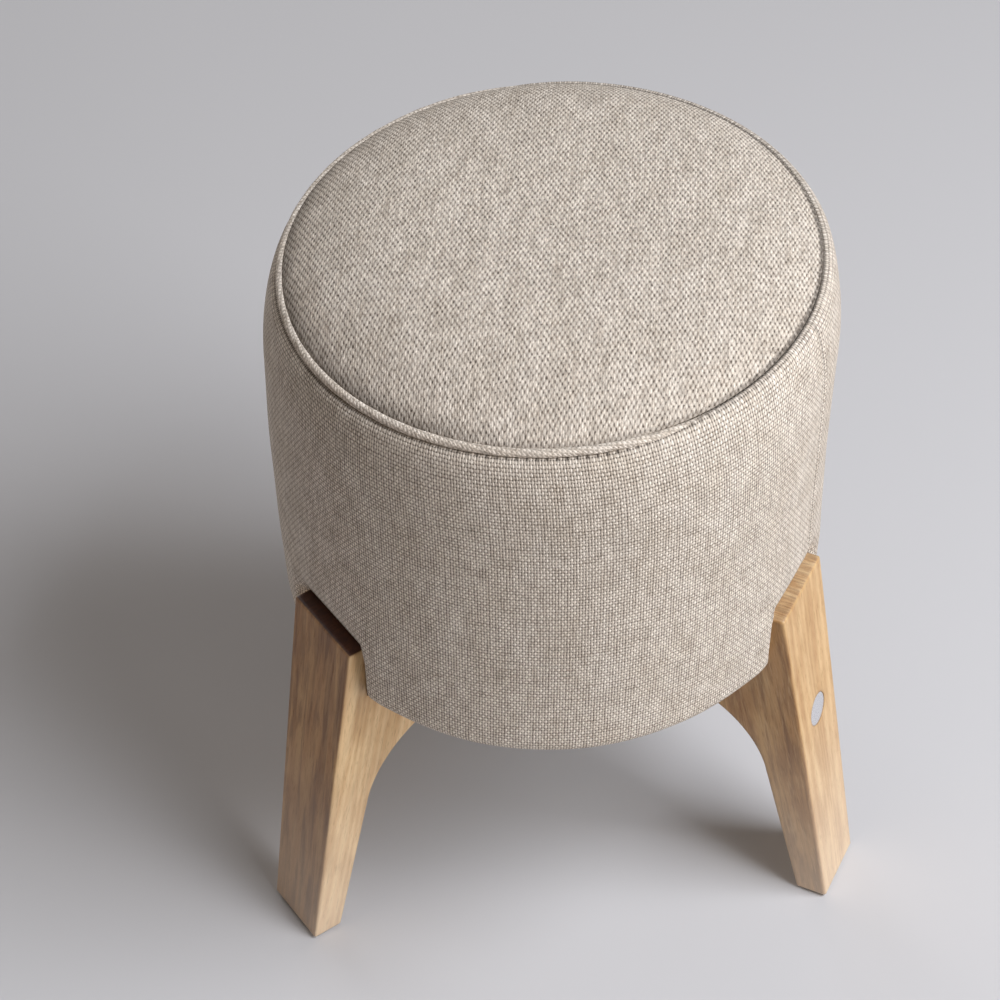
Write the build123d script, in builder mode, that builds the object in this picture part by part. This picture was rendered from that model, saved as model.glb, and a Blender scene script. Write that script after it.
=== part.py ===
"""Round upholstered stool on three splayed oak legs, in millimetres, +Z up.

The origin is on the floor under the middle of the drum. The drum stands in notches cut in the legs,
and each leg is bolted to the drum's base board through a curved knee.
"""

import math
import os

from build123d import *

# Overall sizes
stool_height = 450.0  # floor to the top of the crown
leg_seat_height = 199.0  # floor to the notch that the drum stands in
first_leg_angle = 210.0  # degrees, left leg from the +X axis
leg_step_angle = 120.0

# Drum outline, to the outside of the linen
drum_radius = 154.6  # fullest part of the barrel
belly_drop = 71.0  # top of the crown down to the fullest part
lower_taper = 1.9  # barrel drawn in where the bottom rounding starts
lower_rounding = 14.0
shoulder_taper = 3.7  # barrel drawn in at its shoulder
shoulder_drop = 15.9  # seam down to the shoulder
seam_taper = 12.6  # barrel drawn in at the seam
seam_drop = 19.2  # top of the crown down to the seam
dome_margin = 35.0  # seam in to the nearly flat middle of the crown
dome_sag = 5.2
pocket_depth = 10.2  # fullest part in to the flat pressed by a leg
pocket_lean_angle = 23.0  # degrees from upright, linen swelling out above a leg

# Linen cover and welt
cover_thickness = 1.2
hem_width = 18.7  # turned under the base board
cord_radius = 1.3
flange_width = 10.0  # sewn edge of the welt, inside the seam
flange_slit = 0.2  # between the two layers of that edge
dust_cover_thickness = 0.6
dust_cover_margin = 4.0  # dust cover past the staples

# Staples through the dust cover and the hem
staple_width = 10.0
staple_wire = 0.6
staple_band = 1.2
staple_bite = 6.0  # length held in the base board
staples_per_side = 8
staple_step_angle = 12.0  # degrees between two staples

# Foam
seat_foam_thickness = 50.0  # at the middle of the seat
pinched_foam = 3.0  # side foam squeezed behind a leg

# Drum carcass
base_board_thickness = 18.0
seat_board_thickness = 15.0
wall_thickness = 4.0
post_side = 36.0
post_turn_angle = 60.0  # degrees from a leg to the post beside it
screw_spacing = 16.0  # two screws at each end of a post

# Countersunk screws
screw_radius = 2.25
screw_head_radius = 4.5
screw_length = 45.0
screw_point = 5.0

# Legs
foot_splay = 37.0  # outer edge of a foot past the top of the leg
foot_depth = 19.0
foot_width = 44.0
upright_height = 40.0  # notch up to the end-grain top of a leg
ledge_depth = 9.6
ledge_width = 56.0
shank_lean_angle = 13.2  # degrees from upright, inner edge of the shank
knee_radius = 75.0
arm_depth = 36.0  # knee under the drum, at its thin end
arm_tip = 9.0  # straight end of the arm, past the knee's curve
edge_round = 1.5

# Bolts, washers and tee nuts
bolt_radius = 4.0
bolt_head_radius = 6.5
bolt_head_height = 8.0
bolt_socket_across = 6.0
bolt_socket_depth = 4.0
bolt_socket_sides = 6
bolt_length = 42.0
bolt_grip = 24.0  # oak between the washer and the drum
bolt_inset = 21.0  # end of the arm to the inner bolt
bolt_spacing = 28.0
washer_radius = 8.0
washer_thickness = 1.6
counterbore_radius = 9.0
tee_nut_flange_radius = 11.0
tee_nut_flange = 1.5
tee_nut_barrel_radius = 5.0
tee_nut_barrel = 12.0

# Badge and glides
badge_radius = 10.1
badge_thickness = 1.2
badge_height = 143.0
badge_sink = 0.3  # badge below the face of the leg
badge_edge = 0.3
badge_leg = "leg_right"
glide_thickness = 1.5
glide_margin = 3.0
glide_corner = 3.0

# Clearances
fabric_gap = 0.2  # linen to foam, to oak and to the welt
fit_gap = 0.2  # boards in the wall, badge in its recess
bolt_gap = 0.5  # bolts in their holes
screw_gap = 0.1
cord_gap = 0.1

# Heights that follow
ledge_height = leg_seat_height + upright_height
seam_height = stool_height - seam_drop
belly_height = stool_height - belly_drop
hem_bottom = leg_seat_height + dust_cover_thickness
base_bottom = hem_bottom + cover_thickness
base_top = base_bottom + base_board_thickness
foam_inset = cover_thickness + fabric_gap
seat_board_top = stool_height - foam_inset - seat_foam_thickness
seat_board_bottom = seat_board_top - seat_board_thickness
arm_bottom = leg_seat_height - arm_depth
washer_top = leg_seat_height - bolt_grip
washer_bottom = washer_top - washer_thickness

# Radii that follow
seam_radius = drum_radius - seam_taper
lower_radius = drum_radius - lower_taper
pocket_radius = drum_radius - pocket_depth
upright_radius = pocket_radius + fabric_gap
wall_radius = pocket_radius - foam_inset - pinched_foam
wall_bore = wall_radius - wall_thickness
board_radius = wall_bore - fit_gap
hem_outer = lower_radius - lower_rounding
hem_inner = hem_outer - hem_width
lining_rounding = lower_rounding - cover_thickness
wall_overhang = max(0, wall_radius - hem_outer)
lining_rise = lining_rounding - math.sqrt(lining_rounding**2 - wall_overhang**2)
wall_bottom = base_bottom + lining_rise + fabric_gap
staple_ring = hem_outer - hem_width / 2
welt_radius = cord_radius + cover_thickness
flange_thickness = 2 * cover_thickness + flange_slit
post_corner_radius = wall_bore - fit_gap
post_ring = math.sqrt(post_corner_radius**2 - (post_side / 2) ** 2) - post_side / 2

# Leg profile points that follow, as radius and height
ledge_outer = upright_radius + ledge_depth
foot_radius = ledge_outer + foot_splay
foot_inner = foot_radius - foot_depth
knee_corner = foot_inner - (arm_bottom - glide_thickness) * math.tan(math.radians(shank_lean_angle))
knee_tangent = knee_radius * math.tan(math.radians((90 - shank_lean_angle) / 2))
arm_end = knee_corner - knee_tangent - arm_tip
face_fall = foot_splay / (ledge_height - glide_thickness)
face_lean = math.degrees(math.atan(face_fall))

# Places of the legs and of the repeated fasteners
leg_names = ("leg_left", "leg_right", "leg_back")
leg_angles = {name: first_leg_angle + number * leg_step_angle for number, name in enumerate(leg_names)}
bolt_places = [
    (radius * math.cos(math.radians(angle)), radius * math.sin(math.radians(angle)))
    for angle in leg_angles.values()
    for radius in (arm_end + bolt_inset, arm_end + bolt_inset + bolt_spacing)
]
post_angles = [angle + post_turn_angle for angle in leg_angles.values()]
screw_places = [
    Location((0, 0, 0), (0, 0, angle)) * Location((post_ring, side * screw_spacing / 2, 0))
    for angle in post_angles
    for side in (-1, 1)
]

os.makedirs("parts", exist_ok=True)


def radial_plane(angle):
    """Upright plane through the drum's axis: x runs outwards, y runs up."""
    turn = math.radians(angle)
    outwards = (math.cos(turn), math.sin(turn), 0)
    return Plane((0, 0, 0), x_dir=outwards, z_dir=(math.sin(turn), -math.cos(turn), 0))


def face_plane(angle, radius=0, height=0, lean=0):
    """Plane facing outwards at an angle: x runs sideways, and lean tips it to look up."""
    turn = math.radians(angle)
    tip = math.radians(lean)
    outwards = (math.cos(turn) * math.cos(tip), math.sin(turn) * math.cos(tip), math.sin(tip))
    origin = (radius * math.cos(turn), radius * math.sin(turn), height)
    return Plane(origin, x_dir=(-math.sin(turn), math.cos(turn), 0), z_dir=outwards)


def drum_form(inset):
    """The drum's soft outline, drawn in by inset, with a pressed-in pocket behind each leg."""
    top = (0, stool_height - inset)
    dome_end = (seam_radius - dome_margin - inset, stool_height - inset - dome_sag)
    seam = (seam_radius - inset, seam_height)
    shoulder = (drum_radius - shoulder_taper - inset, seam_height - shoulder_drop)
    belly = (drum_radius - inset, belly_height)
    lower = (lower_radius - inset, hem_bottom + lower_rounding)
    under = (hem_outer, hem_bottom + inset)
    pocket = pocket_radius - inset
    clear = drum_radius + lower_rounding
    slope_top = ledge_height + (clear - pocket) / math.tan(math.radians(pocket_lean_angle))
    with BuildPart() as form:
        with BuildSketch(Plane.XZ):
            with BuildLine():
                dome = TangentArc(top, dome_end, tangent=(1, 0))
                TangentArc(dome_end, seam, tangent=dome % 1)
                rise = TangentArc(belly, shoulder, tangent=(0, 1))
                TangentArc(shoulder, seam, tangent=rise % 1)
                side = TangentArc(belly, lower, tangent=(0, -1))
                TangentArc(lower, under, tangent=side % 1)
                Polyline(under, (0, hem_bottom + inset), top)
            make_face()
        revolve(axis=Axis.Z)
        for angle in leg_angles.values():
            with BuildSketch(radial_plane(angle)):
                with BuildLine():
                    Polyline((pocket, 0), (pocket, ledge_height), (clear, slope_top), (clear, 0), close=True)
                make_face()
            extrude(amount=ledge_width / 2 + fabric_gap + inset, both=True, mode=Mode.SUBTRACT)
    return form.part


def welt_ring(gap):
    """The welt's round bead with its sewn flange, grown by gap all round."""
    with BuildPart() as ring:
        with BuildSketch(Plane.XZ):
            with Locations((seam_radius, seam_height)):
                Circle(welt_radius + gap)
                Rectangle(flange_width + gap, flange_thickness + 2 * gap, align=(Align.MAX, Align.CENTER))
        revolve(axis=Axis.Z)
    return ring.part


def screw_body(gap):
    """A countersunk screw, head down at the origin and point up, grown by gap."""
    head = screw_head_radius + gap
    shank = screw_radius + gap
    with BuildPart() as screw:
        with BuildSketch(Plane.XZ):
            with BuildLine():
                Polyline(
                    (0, 0),
                    (head, 0),
                    (shank, head - shank),
                    (shank, screw_length - screw_point),
                    (0, screw_length + gap),
                    close=True,
                )
            make_face()
        revolve(axis=Axis.Z)
    return screw.part


outer_form = drum_form(0)
lining_form = drum_form(cover_thickness)
foam_form = drum_form(foam_inset)
welt_room = welt_ring(fabric_gap)
screw = screw_body(0)
screw_room = screw_body(screw_gap)
upward_screws = [Location((0, 0, base_bottom)) * place for place in screw_places]
downward_screws = [
    Location((0, 0, seat_board_top)) * place * Location((0, 0, 0), (180, 0, 0)) for place in screw_places
]

# Staples that hold the hem and the dust cover
staple_leg = dust_cover_thickness + cover_thickness + staple_bite
staple_angles = [
    middle + (number - (staples_per_side - 1) / 2) * staple_step_angle
    for middle in post_angles
    for number in range(staples_per_side)
]
with BuildPart() as cover_staples:
    for angle in staple_angles:
        with BuildSketch(face_plane(angle, staple_ring, leg_seat_height)):
            with Locations((0, -staple_wire / 2)):
                Rectangle(staple_width, staple_wire)
            for side in (-1, 1):
                with Locations((side * (staple_width - staple_wire) / 2, 0)):
                    Rectangle(staple_wire, staple_leg, align=(Align.CENTER, Align.MIN))
        extrude(amount=staple_band / 2, both=True)
cover_staples.part.label = "cover_staples"
export_step(cover_staples.part, "parts/cover_staples.step")

# Base board, with counterbored tee-nut holes and countersunk screw holes
with BuildPart() as base_board:
    with BuildSketch(Plane.XY.offset(base_bottom)):
        Circle(board_radius)
    extrude(amount=base_board_thickness)
    with Locations(*[(x, y, base_top) for x, y in bolt_places]):
        CounterBoreHole(bolt_radius + bolt_gap, tee_nut_barrel_radius + fit_gap, tee_nut_barrel + fit_gap)
    with Locations(*upward_screws):
        add(screw_room, mode=Mode.SUBTRACT)
    add(cover_staples.part, mode=Mode.SUBTRACT)
base_board.part.label = "base_board"
export_step(base_board.part, "parts/base_board.step")

# Seat board, flush with the top of the wall
with BuildPart() as seat_board:
    with BuildSketch(Plane.XY.offset(seat_board_bottom)):
        Circle(board_radius)
    extrude(amount=seat_board_thickness)
    with Locations(*downward_screws):
        add(screw_room, mode=Mode.SUBTRACT)
seat_board.part.label = "seat_board"
export_step(seat_board.part, "parts/seat_board.step")

# Bent fibreboard wall round both boards
with BuildPart() as drum_wall:
    with BuildSketch(Plane.XY.offset(wall_bottom)):
        Circle(wall_radius)
        Circle(wall_bore, mode=Mode.SUBTRACT)
    extrude(amount=seat_board_top - wall_bottom)
drum_wall.part.label = "drum_wall"
export_step(drum_wall.part, "parts/drum_wall.step")

# Softwood posts between the boards, with their outer corners against the wall
with BuildPart() as drum_posts:
    for angle in post_angles:
        with BuildSketch(Plane((0, 0, base_top), x_dir=face_plane(angle).z_dir)):
            with Locations((post_ring, 0)):
                Rectangle(post_side, post_side)
        extrude(amount=seat_board_bottom - base_top)
    with Locations(*upward_screws, *downward_screws):
        add(screw_room, mode=Mode.SUBTRACT)
drum_posts.part.label = "drum_posts"
export_step(drum_posts.part, "parts/drum_posts.step")

# Screws through the boards into the posts
with BuildPart() as base_screws:
    with Locations(*upward_screws):
        add(screw)
base_screws.part.label = "base_screws"
export_step(base_screws.part, "parts/base_screws.step")

with BuildPart() as seat_screws:
    with Locations(*downward_screws):
        add(screw)
seat_screws.part.label = "seat_screws"
export_step(seat_screws.part, "parts/seat_screws.step")

# Crowned foam over the seat board, the wall and the side foam
with BuildPart() as seat_foam:
    add(foam_form)
    split(bisect_by=Plane.XY.offset(seat_board_top), keep=Keep.TOP)
    add(welt_room, mode=Mode.SUBTRACT)
seat_foam.part.label = "seat_foam"
export_step(seat_foam.part, "parts/seat_foam.step")

# Foam wrapped round the wall, squeezed thin behind the legs
with BuildPart() as side_foam:
    add(foam_form)
    split(bisect_by=Plane.XY.offset(seat_board_top), keep=Keep.BOTTOM)
    with BuildSketch():
        Circle(wall_radius + fabric_gap)
    extrude(amount=stool_height, mode=Mode.SUBTRACT)
side_foam.part.label = "side_foam"
export_step(side_foam.part, "parts/side_foam.step")

# Top panel of the linen cover, down to the welt
with BuildPart() as cover_top:
    add(outer_form)
    add(lining_form, mode=Mode.SUBTRACT)
    split(bisect_by=Plane.XY.offset(seam_height), keep=Keep.TOP)
    add(welt_room, mode=Mode.SUBTRACT)
cover_top.part.label = "cover_top"
export_step(cover_top.part, "parts/cover_top.step")

# Side band of the linen cover, from the welt round to the hem under the base board
with BuildPart() as cover_side:
    add(outer_form)
    add(lining_form, mode=Mode.SUBTRACT)
    split(bisect_by=Plane.XY.offset(seam_height), keep=Keep.BOTTOM)
    add(welt_room, mode=Mode.SUBTRACT)
    with BuildSketch():
        Circle(hem_inner)
        with Locations(*bolt_places):
            Circle(bolt_radius + bolt_gap)
    extrude(amount=base_bottom, mode=Mode.SUBTRACT)
    add(cover_staples.part, mode=Mode.SUBTRACT)
cover_side.part.label = "cover_side"
export_step(cover_side.part, "parts/cover_side.step")

# Welt: linen folded round a cord, with both edges sewn into the seam
with BuildPart() as piping:
    add(welt_ring(0))
    with BuildSketch(Plane.XZ):
        with Locations((seam_radius, seam_height)):
            Circle(cord_radius)
            Rectangle(flange_width, flange_slit, align=(Align.MAX, Align.CENTER))
    revolve(axis=Axis.Z, mode=Mode.SUBTRACT)
piping.part.label = "piping"
export_step(piping.part, "parts/piping.step")

with BuildPart() as piping_cord:
    with BuildSketch(Plane.XZ):
        with Locations((seam_radius, seam_height)):
            Circle(cord_radius - cord_gap)
    revolve(axis=Axis.Z)
piping_cord.part.label = "piping_cord"
export_step(piping_cord.part, "parts/piping_cord.step")

# Black sheet that closes the underside
with BuildPart() as dust_cover:
    with BuildSketch(Plane.XY.offset(leg_seat_height)):
        Circle(staple_ring + dust_cover_margin)
        with Locations(*bolt_places):
            Circle(bolt_radius + bolt_gap, mode=Mode.SUBTRACT)
    extrude(amount=dust_cover_thickness)
    add(cover_staples.part, mode=Mode.SUBTRACT)
dust_cover.part.label = "dust_cover"
export_step(dust_cover.part, "parts/dust_cover.step")

# Oak legs: a tapering plank with a notch for the drum and a knee that curves in under it
badge_face = face_plane(
    leg_angles[badge_leg],
    foot_radius - (badge_height - glide_thickness) * face_fall,
    badge_height,
    face_lean,
)
badge_pocket = badge_thickness + badge_sink
for leg_name, leg_angle in leg_angles.items():
    with BuildPart() as leg:
        with BuildSketch(radial_plane(leg_angle)):
            with BuildLine():
                FilletPolyline(
                    (ledge_outer, ledge_height),
                    (foot_radius, glide_thickness),
                    (foot_inner, glide_thickness),
                    (knee_corner, arm_bottom),
                    (arm_end, arm_bottom),
                    radius=[0, 0, knee_radius],
                )
                Polyline(
                    (arm_end, arm_bottom),
                    (arm_end, leg_seat_height),
                    (upright_radius, leg_seat_height),
                    (upright_radius, ledge_height),
                    (ledge_outer, ledge_height),
                )
            make_face()
        extrude(amount=ledge_width, both=True)
        with BuildSketch(face_plane(leg_angle)):
            with BuildLine():
                Polyline(
                    (-foot_width / 2, glide_thickness),
                    (foot_width / 2, glide_thickness),
                    (ledge_width / 2, ledge_height),
                    (-ledge_width / 2, ledge_height),
                    close=True,
                )
            make_face()
        extrude(amount=foot_radius, mode=Mode.INTERSECT)
        notch_corner = radial_plane(leg_angle).from_local_coords(Vector(upright_radius, leg_seat_height, 0))
        notch_faces = leg.faces().sort_by_distance(notch_corner)[:2]
        arm_end_face = leg.faces().sort_by_distance((0, 0, arm_bottom))[0]
        hidden_edges = notch_faces.edges() + arm_end_face.edges()
        fillet([edge for edge in leg.edges() if edge not in hidden_edges], edge_round)
        with Locations(*[(x, y, 0) for x, y in bolt_places]):
            Cylinder(bolt_radius + bolt_gap, stool_height, mode=Mode.SUBTRACT)
            Cylinder(
                counterbore_radius,
                washer_top,
                align=(Align.CENTER, Align.CENTER, Align.MIN),
                mode=Mode.SUBTRACT,
            )
        if leg_name == badge_leg:
            with BuildSketch(badge_face):
                Circle(badge_radius + fit_gap)
            extrude(amount=-badge_pocket, mode=Mode.SUBTRACT)
    leg.part.label = leg_name
    export_step(leg.part, f"parts/{leg_name}.step")

# Plain metal disc let into one leg
with BuildPart() as badge_disc:
    with BuildSketch(badge_face.offset(-badge_pocket)):
        Circle(badge_radius)
    extrude(amount=badge_thickness)
    fillet(badge_disc.faces().sort_by(SortBy.DISTANCE)[-1].edges(), badge_edge)
badge_disc.part.label = "badge_disc"
export_step(badge_disc.part, "parts/badge_disc.step")

# Felt glides under the feet
with BuildPart() as foot_glides:
    for angle in leg_angles.values():
        with BuildSketch(Plane((0, 0, 0), x_dir=face_plane(angle).z_dir)):
            with Locations((foot_radius - foot_depth / 2, 0)):
                RectangleRounded(foot_depth - 2 * glide_margin, foot_width - 2 * glide_margin, glide_corner)
        extrude(amount=glide_thickness)
foot_glides.part.label = "foot_glides"
export_step(foot_glides.part, "parts/foot_glides.step")

# Socket-head bolts up through the knees, with washers under their heads
with BuildPart() as leg_bolts:
    with BuildSketch(Plane.XY.offset(washer_bottom)):
        with Locations(*bolt_places):
            Circle(bolt_head_radius)
    extrude(amount=-bolt_head_height)
    with BuildSketch(Plane.XY.offset(washer_bottom)):
        with Locations(*bolt_places):
            Circle(bolt_radius)
    extrude(amount=bolt_length)
    with BuildSketch(Plane.XY.offset(washer_bottom - bolt_head_height)):
        with Locations(*bolt_places):
            RegularPolygon(bolt_socket_across / 2, bolt_socket_sides, major_radius=False)
    extrude(amount=bolt_socket_depth, mode=Mode.SUBTRACT)
leg_bolts.part.label = "leg_bolts"
export_step(leg_bolts.part, "parts/leg_bolts.step")

with BuildPart() as bolt_washers:
    with BuildSketch(Plane.XY.offset(washer_bottom)):
        with Locations(*bolt_places):
            Circle(washer_radius)
            Circle(bolt_radius + fit_gap, mode=Mode.SUBTRACT)
    extrude(amount=washer_thickness)
bolt_washers.part.label = "bolt_washers"
export_step(bolt_washers.part, "parts/bolt_washers.step")

# Tee nuts let into the base board from above
with BuildPart() as tee_nuts:
    with BuildSketch(Plane.XY.offset(base_top)):
        with Locations(*bolt_places):
            Circle(tee_nut_flange_radius)
    extrude(amount=tee_nut_flange)
    with BuildSketch(Plane.XY.offset(base_top)):
        with Locations(*bolt_places):
            Circle(tee_nut_barrel_radius)
    extrude(amount=-tee_nut_barrel)
    with BuildSketch(Plane.XY.offset(base_top + tee_nut_flange)):
        with Locations(*bolt_places):
            Circle(bolt_radius + screw_gap)
    extrude(amount=-tee_nut_barrel - tee_nut_flange, mode=Mode.SUBTRACT)
tee_nuts.part.label = "tee_nuts"
export_step(tee_nuts.part, "parts/tee_nuts.step")
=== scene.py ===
import math

import bpy
import numpy as np
from mathutils import Matrix, Vector, kdtree, noise


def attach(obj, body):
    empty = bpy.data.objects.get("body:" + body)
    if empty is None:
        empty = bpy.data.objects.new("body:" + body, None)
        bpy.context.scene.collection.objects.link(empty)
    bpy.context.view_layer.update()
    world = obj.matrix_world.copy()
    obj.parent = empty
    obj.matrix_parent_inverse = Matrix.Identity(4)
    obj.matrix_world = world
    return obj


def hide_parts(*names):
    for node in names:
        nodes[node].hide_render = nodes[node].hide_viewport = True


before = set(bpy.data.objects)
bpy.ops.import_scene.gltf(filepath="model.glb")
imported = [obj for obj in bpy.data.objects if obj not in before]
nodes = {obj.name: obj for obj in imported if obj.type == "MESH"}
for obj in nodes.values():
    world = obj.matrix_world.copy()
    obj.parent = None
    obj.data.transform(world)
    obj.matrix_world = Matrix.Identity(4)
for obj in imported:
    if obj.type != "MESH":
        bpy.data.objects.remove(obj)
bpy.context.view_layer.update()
mm = 0.001
legAngles = {"leg_left": 210, "leg_right": 330, "leg_back": 90}  # degrees from +X
print("frame loaded:", len(nodes), "nodes")


# sRGB hex to the linear colour that the shaders work in
def hexColour(text):
    parts = [int(text[i:i + 2], 16) / 255 for i in (1, 3, 5)]
    return [c / 12.92 if c <= 0.04045 else ((c + 0.055) / 1.055) ** 2.4 for c in parts] + [1]


# adds one node: settings by name, and inputs given as a value, a node or a socket
def addNode(tree, kind, inputs=None, **settings):
    node = tree.nodes.new(kind)
    for name, value in settings.items():
        setattr(node, name, value)
    for key, value in (inputs or {}).items():
        socket = node.inputs[key] if isinstance(key, int) else next(
            s for s in node.inputs if s.name == key and s.enabled
        )
        if isinstance(value, bpy.types.Node):
            value = next(s for s in value.outputs if s.enabled)
        if isinstance(value, bpy.types.NodeSocket):
            tree.links.new(value, socket)
        else:
            socket.default_value = value
    return node


def newMaterial(name):
    material = bpy.data.materials.new(name)
    material.use_nodes = True
    material.node_tree.nodes.clear()
    return material, material.node_tree


def closeMaterial(tree, shader):
    addNode(tree, "ShaderNodeOutputMaterial", {"Surface": shader})


# Natural linen, undyed, plain woven: dry and matt, slubby beige threads with small dark holes between them
linen = {
    "warpYarn": "#fdf6ed",
    "weftYarn": "#f0e7dc",
    "darkYarn": "#b9a998",
    "hole": "#2a211b",
    "shadow": "#2b241f",  # painted shade in needle holes and seams
    "slubLength": 9,  # threads
    "patchSize": 14,  # threads, faint lighter and darker patches
    "slubShare": 0.55, "slubAcross": 0.8,  # of the dark yarn at most, and how alike neighbours are
    "relief": 0.4, "reliefStrength": 0.9,  # mm, and share
    "fibreTone": 0.1,  # how much darker one fibre may be than the next
    "fibres": 2.2, "drifts": 0.55,  # for each thread
    "edge": (0.15, 0.8),  # where a thread's side falls away into the gap
    "gapSpread": (0.6, 1.4),  # gaps differ in depth from thread to thread
    "dip": (-0.75, -0.15),  # where a crossing is deepest, and where it begins
    "rough": 0.92, "ior": 1.45, "specular": 0.2,
    "swing": 0.45, "level": 0.55,  # a thread goes over and under about its middle
}
# For each piece: how dark the crossings and the gaps between threads are, painted shade set by how the piece is
# stretched and how the light falls on it, how shallow a crossing may be, how far crossings differ in tone, how far
# threads wander, and the tints of patches
weaves = {
    "linenWovenSeat": {
        "crossing": 0.94, "shallow": 0.35, "cellTone": 0.26, "warpGap": 0.14, "weftGap": 0.14, "corner": 0.15,
        "wander": 0.7, "light": "#fcfaf8", "dark": "#f0ede9"
    },
    "linenWovenBand": {
        "crossing": 0.3, "shallow": 0.6, "cellTone": 0.12, "warpGap": 0.45, "weftGap": 0.32, "corner": 1.0,
        "wander": 0.35, "light": "#fffefd", "dark": "#f5f2ee"
    },
    "linenWovenBias": {
        "crossing": 0.45, "shallow": 0.5, "cellTone": 0.2, "warpGap": 0.15, "weftGap": 0.15, "corner": 0.4,
        "wander": 0.35, "light": "#fffefd", "dark": "#f5f2ee"
    },
}


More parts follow.
